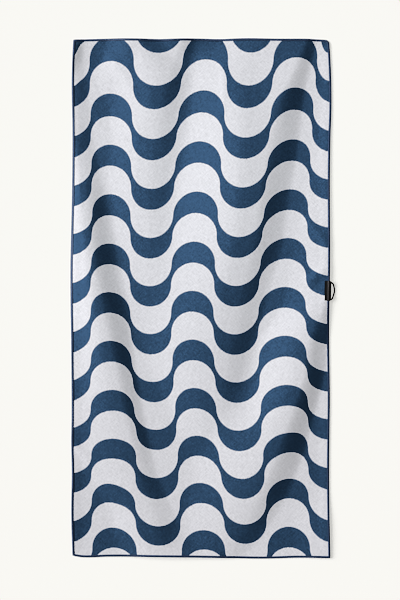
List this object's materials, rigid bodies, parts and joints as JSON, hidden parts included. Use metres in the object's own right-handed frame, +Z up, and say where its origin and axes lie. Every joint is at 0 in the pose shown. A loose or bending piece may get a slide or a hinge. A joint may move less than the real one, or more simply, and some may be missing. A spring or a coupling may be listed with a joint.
{
  "type": "bath towel",
  "caption": "Rectangular printed bath towel lying in long soft folds, with a bound edge and a small elastic hanging loop under a folded label.",
  "frame": {"origin": "middle of the footprint, on the surface that the towel lies on", "axes": "+Z up, +Y up the towel's length from the foot hem to the head hem, +X across the towel towards the edge with the hanging loop"},
  "size_m": [0.7172, 1.41, 0.025],
  "materials": {
    "cloth": "fine matt quick-dry weave, off-white with printed blue wave bands",
    "binding": "matt navy thread and tape",
    "label": "black woven tape, bare",
    "cord": "black braided elastic cord"
  },
  "bodies": {
    "root": {"towel_cloth": "cloth", "edge_binding": "binding", "label_tab": "label", "hanging_loop": "cord"}
  },
  "joints": []
}
